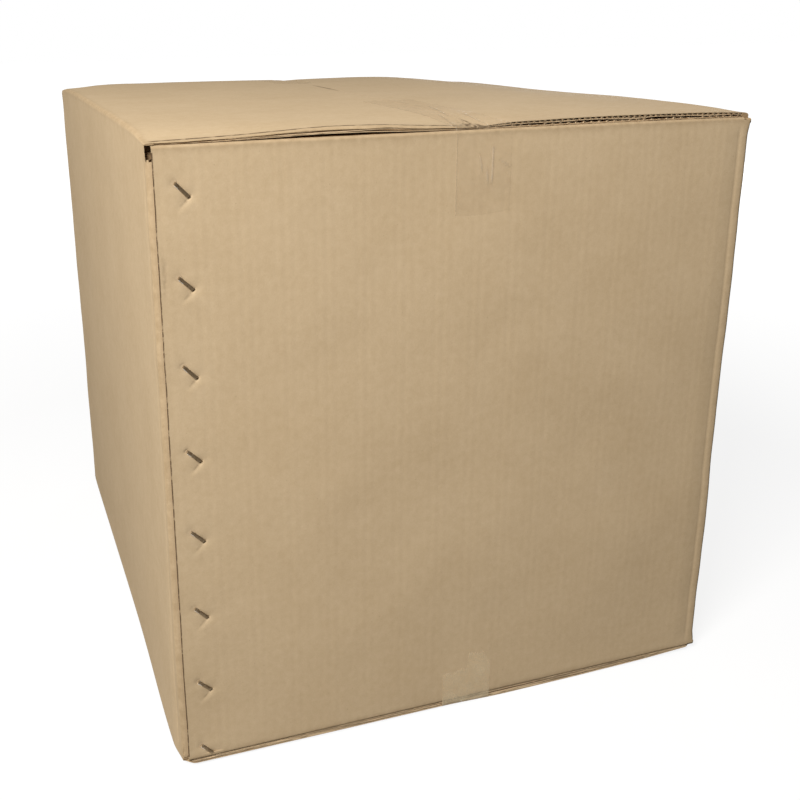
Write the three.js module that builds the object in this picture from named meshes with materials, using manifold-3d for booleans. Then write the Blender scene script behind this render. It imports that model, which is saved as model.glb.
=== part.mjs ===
// A closed moving box: one folded blank of double-wall board, wire stitched and taped.
// Millimetres, +Z up, front face towards -Y, origin under the middle of the box on its rest plane.

import * as THREE from "three";
import { mergeVertices } from "three/addons/utils/BufferGeometryUtils.js";
import Module from "manifold-3d";

const wasm = await Module();
wasm.setup();

// Outside sizes of the carton
const boxWidth = 518;
const boxDepth = 614;
const boxHeight = 535;

// Board: three liners with an upper and a lower row of flutes between them
const boardThickness = 6;
const linerThickness = 0.55;
const upperFluteHeight = 2;
const layerGap = 0.5;
const foldRadius = 4;

// Flaps
const flapEndInset = 4;
const seamGap = 1;
const topSeamFront = 3;
const topSeamBack = 18;
const bottomSeamOffset = 3;
const innerFlapLength = 255;
const innerFlapSideGap = 1;

// Stitched joint at the front left corner
const rawEdgeInset = 4;
const lapThickness = 3.2;
const tabThickness = 3.2;
const tabWidth = 38;
const tabEndInset = 10;
const tabTaper = 12;
const lapRelief = 3;
const cornerNotchDepth = 8;

// Cut ends of the top outer flaps, as they show above the front panel
const flutePitch = 5.2;
const fluteOpeningWidth = 3;
const fluteSlant = 1.3;
const fluteOpeningDepth = 12;
const fluteRowFromSeam = 21;
const fluteRowFromSide = 17;
const lowerFlutePitch = 7.2;
const endGrooveDepth = 8;
const endGrooveFromSide = 23;
const endGrooveFromSeam = 19;

// Wire stitches
const stitchCount = 8;
const firstStitchDrop = 32;
const lastStitchRise = 7.9;
const lastStitchStep = 64;
const topStitchInset = 20.3;
const bottomStitchInset = 16.6;
const stitchAngle = Math.PI / 4;
const stitchLength = 15.2;
const wireWidth = 2.4;
const wireThickness = 0.7;
const wireBend = 1;
const clinchLength = 5;
const shortLegDepth = 6;
const stitchSink = 0.8;
const pocketMargin = 0.8;

// Clear tape
const tapeWidth = 48;
const tapeThickness = 0.3;
const tapeOffset = 6.5;
const topTapeDrop = 61;
const bottomTapeRise = 44;
const frontTapeRun = 200;
const rearTapeRun = 122;
const rearTapeDrop = 60;
const pressedBandMargin = 2;
const pressedBandRamp = 10;
const pressDepth = 0.8;

const pieceGap = 0.3;
const joinOverlap = 3;
const cutReach = 1;
const curveSteps = 6;

const left = -boxWidth / 2;
const right = boxWidth / 2;
const front = -boxDepth / 2;
const back = boxDepth / 2;
const rawEdge = left + rawEdgeInset;
const panelInset = boardThickness + layerGap;
const wallFoot = panelInset + foldRadius;
const wallHead = boxHeight - wallFoot;
const tabFace = front + lapThickness + layerGap;
const tabBack = tabFace + tabThickness;
const tabFoot = panelInset + tabEndInset;
const tabHead = boxHeight - tabFoot;
const firstStitchHeight = boxHeight - panelInset - firstStitchDrop;
const lastStitchHeight = panelInset + lastStitchRise;
const stitchPitch = (firstStitchHeight - lastStitchHeight - lastStitchStep) / (stitchCount - 2);

const kraft = new THREE.MeshStandardMaterial({ color: 0xc3ab89, roughness: 0.92, metalness: 0 });
const wire = new THREE.MeshStandardMaterial({ color: 0x8d8474, roughness: 0.42, metalness: 0.9 });
const clearTape = new THREE.MeshStandardMaterial({ color: 0xd2bd98, roughness: 0.25, metalness: 0 });

// An outline becomes a closed prism that runs along one axis from one place to another.
// The outline is drawn in (y, z) for x, in (x, z) for y and in (x, y) for z.
function prism(axis, shape, from, to) {
  const settings = { depth: to - from, bevelEnabled: false, curveSegments: curveSteps };
  const geometry = new THREE.ExtrudeGeometry(shape, settings);
  const X = new THREE.Vector3(1, 0, 0);
  const Y = new THREE.Vector3(0, 1, 0);
  const Z = new THREE.Vector3(0, 0, 1);
  if (axis === "y") {
    geometry.translate(0, 0, -to);
    geometry.applyMatrix4(new THREE.Matrix4().makeBasis(X, Z, Y.negate()));
    return geometry;
  }
  geometry.translate(0, 0, from);
  if (axis === "x") geometry.applyMatrix4(new THREE.Matrix4().makeBasis(Y, Z, X));
  return geometry;
}

function outline(points) {
  return new THREE.Shape(points.map(([a, b]) => new THREE.Vector2(a, b)));
}

function block(minimum, maximum) {
  const size = maximum.map((value, i) => value - minimum[i]);
  const geometry = new THREE.BoxGeometry(...size);
  geometry.translate(...maximum.map((value, i) => (value + minimum[i]) / 2));
  return geometry;
}

function toSolid(geometry) {
  const bare = geometry.clone();
  bare.deleteAttribute("normal");
  bare.deleteAttribute("uv");
  const merged = mergeVertices(bare);
  return new wasm.Manifold(new wasm.Mesh({
    numProp: 3,
    vertProperties: new Float32Array(merged.attributes.position.array),
    triVerts: new Uint32Array(merged.index.array),
  }));
}

function toGeometry(solid) {
  const mesh = solid.getMesh();
  const geometry = new THREE.BufferGeometry();
  geometry.setAttribute("position", new THREE.BufferAttribute(new Float32Array(mesh.vertProperties), 3));
  geometry.setIndex(new THREE.BufferAttribute(new Uint32Array(mesh.triVerts), 1));
  geometry.computeVertexNormals();
  return geometry;
}

function joinAll(geometries) {
  return geometries.map(toSolid).reduce((whole, piece) => whole.add(piece));
}

function cutAll(solid, geometries) {
  return geometries.map(toSolid).reduce((rest, piece) => rest.subtract(piece), solid);
}

// Four walls as one strip, open at the front left corner, thinner where it laps over the tab
function wallStrip() {
  const inner = boardThickness;
  const lapEnd = left + tabWidth + lapRelief;
  const leftWallEnd = tabFace + foldRadius;
  const shape = new THREE.Shape();
  shape.moveTo(rawEdge, front);
  shape.lineTo(right - foldRadius, front);
  shape.absarc(right - foldRadius, front + foldRadius, foldRadius, -Math.PI / 2, 0, false);
  shape.lineTo(right, back - foldRadius);
  shape.absarc(right - foldRadius, back - foldRadius, foldRadius, 0, Math.PI / 2, false);
  shape.lineTo(left + foldRadius, back);
  shape.absarc(left + foldRadius, back - foldRadius, foldRadius, Math.PI / 2, Math.PI, false);
  shape.lineTo(left, leftWallEnd);
  shape.lineTo(left + inner, leftWallEnd);
  shape.lineTo(left + inner, back - inner);
  shape.lineTo(right - inner, back - inner);
  shape.lineTo(right - inner, front + inner);
  shape.lineTo(lapEnd, front + inner);
  shape.lineTo(lapEnd, front + lapThickness);
  shape.lineTo(rawEdge, front + lapThickness);
  return prism("z", shape, wallFoot, wallHead);
}

// The fold that turns the left wall in behind the front panel
function tabFold() {
  const shape = new THREE.Shape();
  shape.moveTo(left, tabFace + foldRadius);
  shape.absarc(left + foldRadius, tabFace + foldRadius, foldRadius, Math.PI, Math.PI * 1.5, false);
  shape.lineTo(left + boardThickness + joinOverlap, tabFace);
  shape.lineTo(left + boardThickness + joinOverlap, tabBack);
  shape.lineTo(left + boardThickness, tabBack);
  shape.lineTo(left + boardThickness, tabFace + foldRadius + joinOverlap);
  shape.lineTo(left, tabFace + foldRadius + joinOverlap);
  return prism("z", shape, tabFoot, tabHead);
}

function jointTab() {
  const inner = left + boardThickness;
  const outer = left + tabWidth;
  const shape = outline([
    [inner, tabFoot],
    [outer, tabFoot + tabTaper],
    [outer, tabHead - tabTaper],
    [inner, tabHead],
  ]);
  return prism("y", shape, tabFace, tabBack);
}

// Heights are given from the rest plane; a top flap is the bottom one turned over
function level(isTop, height) {
  return isTop ? boxHeight - height : height;
}

// Both outer flaps and the folds that carry them, with a thin pressed band under the tape
function outerFlaps(isTop) {
  const bandLeft = tapeOffset - tapeWidth / 2 - pressedBandMargin;
  const bandRight = tapeOffset + tapeWidth / 2 + pressedBandMargin;
  const arc = (x, turn) => foldPoints(x, foldRadius, turn);
  const points = [
    [left, wallFoot],
    ...arc(left + foldRadius, -1),
    [bandLeft - pressedBandRamp, 0],
    [bandLeft, pressDepth],
    [bandRight, pressDepth],
    [bandRight + pressedBandRamp, 0],
    ...arc(right - foldRadius, 1).reverse(),
    [right, wallFoot],
    [right - boardThickness, wallFoot],
    [right - boardThickness, boardThickness],
    [left + boardThickness, boardThickness],
    [left + boardThickness, wallFoot],
  ];
  const shape = outline(points.map(([x, z]) => [x, level(isTop, z)]));
  return prism("y", shape, front + flapEndInset, back - flapEndInset);
}

// A quarter turn from a wall, on its side, to the flat of its flap
function foldPoints(x, height, side) {
  const points = [];
  for (let step = 0; step <= curveSteps; step += 1) {
    const angle = (step / curveSteps) * (Math.PI / 2);
    points.push([x + side * foldRadius * Math.cos(angle), height - foldRadius * Math.sin(angle)]);
  }
  return points;
}

// One inner flap, folded in from the front or the back panel under the outer flaps
function innerFlap(isTop, isFront) {
  const face = isFront ? front : back;
  const inward = isFront ? 1 : -1;
  const wallEnd = wallFoot + joinOverlap;
  const points = [
    [face, wallEnd],
    ...foldPoints(face + inward * foldRadius, wallFoot, -inward),
    [face + inward * innerFlapLength, panelInset],
    [face + inward * innerFlapLength, panelInset + boardThickness],
    [face + inward * boardThickness, panelInset + boardThickness],
    [face + inward * boardThickness, wallEnd],
  ];
  const reach = boxWidth / 2 - boardThickness - innerFlapSideGap;
  const shape = outline(points.map(([y, z]) => [y, level(isTop, z)]));
  return prism("x", shape, -reach, reach);
}

// The slit where two outer flaps meet; it may run a little askew
function seamSlit(isTop, frontOffset, backOffset) {
  const half = seamGap / 2;
  const shape = outline([
    [frontOffset - half, front - cutReach],
    [frontOffset + half, front - cutReach],
    [backOffset + half, back + cutReach],
    [backOffset - half, back + cutReach],
  ]);
  const inside = boardThickness + layerGap / 2;
  const heights = [level(isTop, -cutReach), level(isTop, inside)].sort((a, b) => a - b);
  return prism("z", shape, ...heights);
}

// The small hole at the top and bottom of the stitched corner
function cornerNotch(isTop) {
  const heights = [level(isTop, boardThickness), level(isTop, tabFoot)].sort((a, b) => a - b);
  return block(
    [left - cutReach, front - cutReach, heights[0]],
    [rawEdge - pieceGap, front + cornerNotchDepth, heights[1]],
  );
}

// Slanted openings between the liners on the cut end of the right top flap
function fluteOpenings() {
  const rows = [
    { pitch: flutePitch, top: linerThickness, bottom: linerThickness + upperFluteHeight },
    {
      pitch: lowerFlutePitch,
      top: 2 * linerThickness + upperFluteHeight,
      bottom: boardThickness - linerThickness,
    },
  ];
  const openings = [];
  const rowStart = topSeamFront + fluteRowFromSeam;
  const rowEnd = right - fluteRowFromSide;
  for (const row of rows) {
    const count = Math.floor((rowEnd - rowStart) / row.pitch);
    for (let i = 0; i < count; i += 1) {
      const x = rowStart + (i + 0.5) * row.pitch;
      const half = (fluteOpeningWidth / 2) * (row.pitch / flutePitch);
      const shape = outline([
        [x - half - fluteSlant / 2, boxHeight - row.top],
        [x - half + fluteSlant / 2, boxHeight - row.bottom],
        [x + half + fluteSlant / 2, boxHeight - row.bottom],
        [x + half - fluteSlant / 2, boxHeight - row.top],
      ]);
      openings.push(prism("y", shape, front, front + flapEndInset + fluteOpeningDepth));
    }
  }
  return openings;
}

// Long gaps between the liners on the cut end of the left top flap
function endGrooves() {
  const upperTop = linerThickness;
  const lowerTop = upperTop + upperFluteHeight + linerThickness;
  const depth = front + flapEndInset + endGrooveDepth;
  return [[upperTop, upperTop + upperFluteHeight], [lowerTop, boardThickness - linerThickness]].map(
    ([high, low]) => block(
      [left + endGrooveFromSide, front, boxHeight - low],
      [topSeamFront - endGrooveFromSeam, depth, boxHeight - high],
    ),
  );
}

function isLastStitch(i) {
  return i === stitchCount - 1;
}

function stitchPlace(i) {
  const height = isLastStitch(i) ? lastStitchHeight : firstStitchHeight - i * stitchPitch;
  const share = (firstStitchHeight - height) / (firstStitchHeight - lastStitchHeight);
  const inset = topStitchInset + (bottomStitchInset - topStitchInset) * share;
  return new THREE.Vector3(rawEdge + inset, front, height);
}

const crownFace = stitchSink - pieceGap - wireThickness;
const clinchFace = tabBack - front + pieceGap + wireThickness;

// What a stitch presses and pierces in the board: a shallow dent and two leg holes
function stitchCuts(i) {
  const half = stitchLength / 2;
  const legCentre = half - wireThickness / 2;
  const legHalf = wireThickness / 2 + pieceGap;
  const widthHalf = wireWidth / 2 + pieceGap;
  const dentHalf = wireWidth / 2 + pocketMargin;
  const cuts = [
    block([-half - pocketMargin, -cutReach, -dentHalf], [half + pocketMargin, stitchSink, dentHalf]),
  ];
  for (const side of [-1, 1]) {
    const isShort = isLastStitch(i) && side === 1;
    const depth = isShort ? shortLegDepth + pieceGap : clinchFace;
    const x = side * legCentre;
    cuts.push(block([x - legHalf, 0, -widthHalf], [x + legHalf, depth, widthHalf]));
  }
  const turn = new THREE.Matrix4().makeRotationY(stitchAngle);
  const place = stitchPlace(i);
  return cuts.map((geometry) => geometry.applyMatrix4(turn).translate(place.x, place.y, place.z));
}

// A flat wire bent to a staple: crown outside, legs through the boards, ends clinched inside.
// The lower leg of the last stitch runs into the fold of the bottom flap and stays straight.
function stitchGeometry(i) {
  const a = stitchLength / 2;
  const w = wireThickness;
  const r = wireBend;
  const crown = crownFace;
  const clinch = clinchFace;
  const shape = new THREE.Shape();
  shape.moveTo(-a + r, crown);
  shape.lineTo(a - r, crown);
  shape.quadraticCurveTo(a, crown, a, crown + r);
  if (isLastStitch(i)) {
    shape.lineTo(a, shortLegDepth);
    shape.lineTo(a - w, shortLegDepth);
  } else {
    shape.lineTo(a, clinch - r);
    shape.quadraticCurveTo(a, clinch, a - r, clinch);
    shape.lineTo(a - clinchLength, clinch);
    shape.lineTo(a - clinchLength, clinch - w);
    shape.lineTo(a - w, clinch - w);
  }
  shape.lineTo(a - w, crown + w);
  shape.lineTo(-a + w, crown + w);
  shape.lineTo(-a + w, clinch - w);
  shape.lineTo(-a + clinchLength, clinch - w);
  shape.lineTo(-a + clinchLength, clinch);
  shape.lineTo(-a + r, clinch);
  shape.quadraticCurveTo(-a, clinch, -a, clinch - r);
  shape.lineTo(-a, crown + r);
  shape.quadraticCurveTo(-a, crown, -a + r, crown);
  return prism("z", shape, -wireWidth / 2, wireWidth / 2);
}

// The tape's way in (y, z) from its end on a face, round the panel's fold, to the outer flap's edge
function tapeWrap(isTop, isFront, faceLength) {
  const centre = new THREE.Vector2(foldRadius, wallFoot);
  const radius = foldRadius + pieceGap;
  const edge = new THREE.Vector2(flapEndInset - pieceGap, pressDepth - pieceGap);
  const toEdge = edge.clone().sub(centre);
  const tangent = toEdge.angle() - Math.acos(radius / toEdge.length());
  const points = [new THREE.Vector2(-pieceGap, panelInset + faceLength)];
  for (let step = 0; step <= curveSteps; step += 1) {
    const angle = Math.PI + ((tangent - Math.PI) * step) / curveSteps;
    points.push(new THREE.Vector2(Math.cos(angle), Math.sin(angle)).multiplyScalar(radius).add(centre));
  }
  points.push(edge);
  const face = isFront ? front : back;
  const inward = isFront ? 1 : -1;
  return points.map(({ x, y }) => new THREE.Vector2(face + inward * x, level(isTop, y)));
}

// A strip with the given way as its board side and its thickness on the outer side
function ribbon(path, outerSide) {
  const outer = path.map((point, i) => {
    const before = path[Math.max(i - 1, 0)];
    const after = path[Math.min(i + 1, path.length - 1)];
    const into = i > 0 ? point.clone().sub(before).normalize() : after.clone().sub(point).normalize();
    const out = i < path.length - 1 ? after.clone().sub(point).normalize() : into.clone();
    const along = into.clone().add(out).normalize();
    const reach = tapeThickness / Math.sqrt((1 + into.dot(out)) / 2);
    return new THREE.Vector2(-along.y, along.x).multiplyScalar(outerSide * reach).add(point);
  });
  return prism("x", new THREE.Shape([...path, ...outer.reverse()]), -tapeWidth / 2, tapeWidth / 2);
}

function topTape(isFront, drop, run) {
  const height = level(true, pressDepth - pieceGap);
  const end = isFront ? front + run : back - run;
  const path = [...tapeWrap(true, isFront, drop), new THREE.Vector2(end, height)];
  return ribbon(path, isFront ? 1 : -1);
}

function bottomTape() {
  const frontPart = tapeWrap(false, true, bottomTapeRise);
  const backPart = tapeWrap(false, false, bottomTapeRise);
  return ribbon([...frontPart, ...backPart.reverse()], -1);
}

function cartonSolid() {
  const pieces = [wallStrip(), tabFold(), jointTab(), outerFlaps(true), outerFlaps(false)];
  for (const isTop of [true, false]) {
    for (const isFront of [true, false]) pieces.push(innerFlap(isTop, isFront));
  }
  const cuts = [
    seamSlit(true, topSeamFront, topSeamBack),
    seamSlit(false, bottomSeamOffset, bottomSeamOffset),
    cornerNotch(true),
    cornerNotch(false),
    ...fluteOpenings(),
    ...endGrooves(),
  ];
  for (let i = 0; i < stitchCount; i += 1) cuts.push(...stitchCuts(i));
  return cutAll(joinAll(pieces), cuts);
}

const group = new THREE.Group();

function addPiece(name, geometry, material) {
  const mesh = new THREE.Mesh(geometry, material);
  mesh.name = name;
  group.add(mesh);
  return mesh;
}

addPiece("carton", toGeometry(cartonSolid()), kraft);

for (let i = 0; i < stitchCount; i += 1) {
  const stitch = addPiece(`stitch_${i + 1}`, stitchGeometry(i), wire);
  stitch.rotation.y = stitchAngle;
  stitch.position.copy(stitchPlace(i));
}

const tapes = {
  top_front_tape: topTape(true, topTapeDrop, frontTapeRun),
  top_rear_tape: topTape(false, rearTapeDrop, rearTapeRun),
  bottom_tape: bottomTape(),
};
for (const [name, geometry] of Object.entries(tapes)) {
  addPiece(name, geometry, clearTape).position.x = tapeOffset;
}

export default group;
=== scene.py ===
import math

import bmesh
import bpy
from mathutils import Matrix, Vector, noise


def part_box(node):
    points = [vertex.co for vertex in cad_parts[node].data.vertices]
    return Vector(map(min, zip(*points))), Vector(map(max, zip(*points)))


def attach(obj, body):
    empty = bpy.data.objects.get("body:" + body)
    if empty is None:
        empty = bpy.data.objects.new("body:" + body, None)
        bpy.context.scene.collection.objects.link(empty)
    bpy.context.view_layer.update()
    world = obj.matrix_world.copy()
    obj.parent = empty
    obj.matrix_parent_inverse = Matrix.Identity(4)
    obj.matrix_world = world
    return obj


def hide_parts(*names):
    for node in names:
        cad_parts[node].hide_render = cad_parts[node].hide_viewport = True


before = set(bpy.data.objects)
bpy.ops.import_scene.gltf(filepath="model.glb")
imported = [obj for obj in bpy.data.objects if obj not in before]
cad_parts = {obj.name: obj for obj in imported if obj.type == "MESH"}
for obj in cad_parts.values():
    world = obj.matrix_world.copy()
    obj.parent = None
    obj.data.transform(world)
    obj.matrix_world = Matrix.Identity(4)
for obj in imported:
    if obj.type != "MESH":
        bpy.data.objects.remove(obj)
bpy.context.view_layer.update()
mm = 0.001
print("frame loaded:", len(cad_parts), "nodes")


# Small helpers

def smooth(low, high, value):
    share = min(max((value - low) / (high - low), 0.0), 1.0)
    return share * share * (3 - 2 * share)


def hump(value, centre, width):
    return math.exp(-((value - centre) / width) ** 2)


def readTable(table, value):  # straight lines between (place, value) pairs
    if value <= table[0][0]:
        return table[0][1]
    for (a, low), (b, high) in zip(table, table[1:]):
        if value <= b:
            return low + (high - low) * (value - a) / (b - a)
    return table[-1][1]


def spread(*stops):  # stops are (place, step up to the next stop)
    places = []
    for (start, step), (end, _) in zip(stops, stops[1:]):
        count = max(1, round((end - start) / step))
        places += [start + (end - start) * i / count for i in range(count)]
    return places + [stops[-1][0]]


def flatGrid(columns, rows):  # a flat grid with its lines at the given places
    bm = bmesh.new()
    wide, high = len(columns) - 1, len(rows) - 1
    bmesh.ops.create_grid(bm, x_segments=wide, y_segments=high, size=0.5)
    for vertex in bm.verts:
        i = round((vertex.co.x + 0.5) * wide)
        j = round((vertex.co.y + 0.5) * high)
        vertex.co = Vector((columns[i], rows[j], 0))
    return bm


def thicken(bm, thickness):  # the flat sheet gets its second side below it
    bmesh.ops.solidify(bm, geom=bm.faces[:], thickness=thickness)
    heights = [vertex.co.z for vertex in bm.verts]
    if max(heights) > thickness / 2:
        for vertex in bm.verts:
            vertex.co.z = -abs(vertex.co.z)
        bmesh.ops.reverse_faces(bm, faces=bm.faces[:])


def markRim(bm, reach=math.inf):  # the cut edges up to reach take the piece's second material, the darker cut-edge copy with painted shade
    for face in bm.faces:
        levels = [vertex.co.z for vertex in face.verts]
        if max(levels) - min(levels) > 1e-7 and face.calc_center_median().x < reach:
            face.material_index = 1


def sharpRims(bm):  # the cut edges stay crisp where the rest is shaded smooth
    bm.normal_update()
    for edge in bm.edges:
        if edge.is_manifold and edge.calc_face_angle() > 0.8:
            edge.smooth = False


def addPiece(name, bm, materials, replaced, smoothFaces=True):
    mesh = bpy.data.meshes.new(name)
    bm.to_mesh(mesh)
    bm.free()
    piece = bpy.data.objects.new(name, mesh)
    bpy.context.scene.collection.objects.link(piece)
    for material in materials:
        mesh.materials.append(material)
    for polygon in mesh.polygons:
        polygon.use_smooth = smoothFaces
    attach(piece, "root")
    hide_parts(*replaced)
    return piece


# How the board lies. The flat blank runs round the box along s, from the raw edge on the
# front panel to the tab behind it, and up the box along t, from flap end to flap end.

carton = {
    "width": 518 * mm,
    "depth": 614 * mm,
    "height": 535 * mm,
    "board": 6 * mm,
    "layerGap": 0.5 * mm,
    "foldRadius": 4 * mm,
    "innerFoldRadius": 1.8 * mm,
    "tightestBend": 0.15 * mm,
    "foldReach": 8 * mm,
    "foldFade": 12 * mm,
    "rawEdgeInset": 4 * mm,
    "lapThickness": 3.2 * mm,
    "lapWidth": 41 * mm,
    "tabWidth": 38 * mm,
    "tabHeadInset": 10 * mm,
    "tabFootInset": 1 * mm,
    "tabTaper": 12 * mm,
    "topNotch": (6.5 * mm, 12 * mm),
    "bottomNotch": (2.5 * mm, 3.5 * mm),
    "cornerReach": 2.2 * mm,
    "rawCorner": 20 * mm,
    "rawFoldSlot": (3 * mm, 2 * mm),
    "endTrim": 0.4 * mm,
    "flapFrom": 6.5 * mm,
    "flapStraight": 40 * mm,
    "outerFlapInset": 4 * mm,
    "innerFlapInset": 7 * mm,
    "innerFlapLength": 255 * mm,
    "outerFlapLength": 256 * mm,
    "seamGap": 1 * mm,
    "topSeam": (3 * mm, 18 * mm),
    "bottomSeam": (3 * mm, 3 * mm),
}

halfWidth, halfDepth = carton["width"] / 2, carton["depth"] / 2
height, board = carton["height"], carton["board"]
panelInset = board + carton["layerGap"]
tabFace = -halfDepth + carton["lapThickness"] + carton["layerGap"]
rawEdge = -halfWidth + carton["rawEdgeInset"]
wallFoot = panelInset + carton["foldRadius"]
wallHead = height - wallFoot
blankFoot = -carton["outerFlapLength"]
blankHead = height + carton["outerFlapLength"]

# Each wall's far corner, the way it runs and the way in from it
walls = [
    {"corner": (halfWidth, -halfDepth), "way": (1, 0), "inward": (0, 1),
     "length": halfWidth - rawEdge},
    {"corner": (halfWidth, halfDepth), "way": (0, 1), "inward": (-1, 0),
     "length": carton["depth"]},
    {"corner": (-halfWidth, halfDepth), "way": (-1, 0), "inward": (0, -1),
     "length": carton["width"]},
    {"corner": (-halfWidth, tabFace), "way": (0, -1), "inward": (1, 0),
     "length": halfDepth - tabFace},
    {"corner": (-halfWidth + carton["tabWidth"], tabFace), "way": (1, 0), "inward": (0, 1),
     "length": carton["tabWidth"]},
]
front, right, back, left, tab = range(5)
run = 0
for wall in walls:
    run += wall["length"]
    wall["end"] = run
cornerRuns = [wall["end"] for wall in walls[:4]]


def wallAt(s):
    for index, wall in enumerate(walls):
        if s <= wall["end"] + 1e-9:
            return index
    return tab


def isOuter(index):  # the outer flaps are on the left and right walls
    return index in (right, left)


def foldHeights(index):
    inset = 0 if isOuter(index) else panelInset
    return inset, height - inset


def seamAt(isTop, y):
    start, end = carton["topSeam"] if isTop else carton["bottomSeam"]
    return start + (end - start) * (y + halfDepth) / carton["depth"]


def turnCorner(q, depth, radius):
    # q runs past a corner of the folded line, below 0 before it; the place is depth inside
    # the line. Gives how far it is along the first way from the corner, and how far in.
    reach = carton["foldReach"]
    if abs(q) >= reach:
        inner = q + math.copysign(depth, -q)
    else:
        inner = q * (reach - depth) / reach
    bend = max(radius - depth, carton["tightestBend"])
    if inner <= -bend:
        return inner - depth, depth
    if inner >= bend:
        return -depth, depth + inner
    angle = (inner + bend) / (2 * bend) * math.pi / 2
    return -depth - bend + bend * math.sin(angle), depth + bend - bend * math.cos(angle)


def onPlan(index, s, inward, isFlap, straightness):
    wall = walls[index]
    along = s - wall["end"]
    straight = (
        wall["corner"][0] + wall["way"][0] * along + wall["inward"][0] * inward,
        wall["corner"][1] + wall["way"][1] * along + wall["inward"][1] * inward,
    )
    if isFlap:
        return straight
    nearest = min(range(4), key=lambda k: abs(s - cornerRuns[k]))
    q = s - cornerRuns[nearest]
    a, b = turnCorner(q, inward, carton["foldRadius"])
    corner = walls[nearest]
    turned = (
        corner["corner"][0] + corner["way"][0] * a + corner["inward"][0] * b,
        corner["corner"][1] + corner["way"][1] * a + corner["inward"][1] * b,
    )
    return tuple(p + (r - p) * straightness for p, r in zip(turned, straight))


# What years of use and the tape did to the flat shape, in metres; the tables run along x

wear = {
    "frontPanelDrop": [(-259 * mm, 0.8 * mm), (259 * mm, 1.7 * mm)],
    "backDrop": [(-259 * mm, 2.6 * mm), (-215 * mm, 0.4 * mm), (10 * mm, 0.8 * mm),
                 (20 * mm, 2.2 * mm), (40 * mm, 1.2 * mm), (120 * mm, 1.6 * mm),
                 (209 * mm, 2.5 * mm)],
    "rightDrop": [(-307 * mm, 0.6 * mm), (-247 * mm, 2.4 * mm), (-110 * mm, 4.2 * mm),
                  (-27 * mm, 6.2 * mm), (70 * mm, 7.8 * mm), (307 * mm, 8 * mm)],
    "rightDropReach": 62 * mm,
    "frontFade": 95 * mm,
    "topEnd": [(-259 * mm, 1.1 * mm), (-246 * mm, 1.7 * mm), (-183 * mm, 2.9 * mm),
               (-121 * mm, 4.9 * mm), (-72 * mm, 4.9 * mm), (-28 * mm, 2.9 * mm),
               (-5 * mm, 1.5 * mm), (6 * mm, 1.8 * mm), (26 * mm, 3.8 * mm), (75 * mm, 5 * mm),
               (160 * mm, 5.4 * mm), (236 * mm, 4.4 * mm), (259 * mm, 3 * mm)],
    "topEndFade": 42 * mm,
    "topEndLift": (1.9 * mm, -108 * mm, 62 * mm, 55 * mm),
    "bottomEnd": [(-259 * mm, 1 * mm), (-248 * mm, 3.3 * mm), (-120 * mm, 3.8 * mm),
                  (-9 * mm, 3.9 * mm), (12 * mm, 4.6 * mm), (41 * mm, 5.7 * mm),
                  (120 * mm, 5.2 * mm), (200 * mm, 3.8 * mm), (259 * mm, 1 * mm)],
    "bottomEndFade": 30 * mm,
    "bottomPush": 3.7 * mm,
    "bottomPushFrom": (26 * mm, 4 * mm),
    "bottomPushFold": (1 * mm, 9 * mm),
    "backEnd": [(-259 * mm, 2.4 * mm), (-190 * mm, 5.4 * mm), (8 * mm, 4.6 * mm),
                (30 * mm, 4.2 * mm), (190 * mm, 5.6 * mm), (259 * mm, 2.6 * mm)],
    "backFadeShare": 0.7,
    "grooveDepth": 0.4 * mm,
    "grooveFromFold": 10.5 * mm,
    "grooveWidth": 1.7 * mm,
    "waviness": 0.7 * mm,
    "frontBulge": 1.6 * mm,
    "cornerBulge": 3.4 * mm,
    "topSettle": 0.3 * mm,
}

# Where these soft shapes lie, as shares of the height or of half the width or depth
sway = {
    "dropFrom": 0.45,
    "bulgeHeight": (0.3, 0.7),
    "bulgeSide": 0.5,
    "bulgeDepth": 0.6,
    "cornerHeight": (0.02, 0.28),
    "cornerDepth": (0.86, 0.42),
    "cornerSide": 0.7,
    "cornerFront": (1.01, 0.9),
    "waveScale": 9,
    "waveStart": (3.1, 0.7, 5.2),
    "rippleScale": 31,
    "rippleShare": 0.45,
    "wallPower": 12,
    "calmEdge": 30 * mm,
    "topWaveFrom": (12 * mm, 2 * mm),
    "topWaveShare": 0.8,
}


def endShare(isTop, x, y):  # how much of its thickness an outer flap keeps, thin at its cut ends
    side = "top" if isTop else "bottom"
    table, fade = wear[side + "End"], wear[side + "EndFade"]
    backFade = fade * wear["backFadeShare"]
    share = 1 - (1 - readTable(table, x) / board) * hump(y, -halfDepth, fade)
    return share * (1 - (1 - readTable(wear["backEnd"], x) / board) * hump(y, halfDepth, backFade))


def endLift(x, y):
    lift, centre, width, fade = wear["topEndLift"]
    return lift * hump(x, centre, width) * hump(y, -halfDepth, fade)


def pushedOut(y):  # the bottom flaps' front ends are squeezed out, level with the front panel
    behind, ahead = wear["bottomPushFrom"]
    return wear["bottomPush"] * smooth(-halfDepth + behind, -halfDepth + ahead, y)


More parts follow.
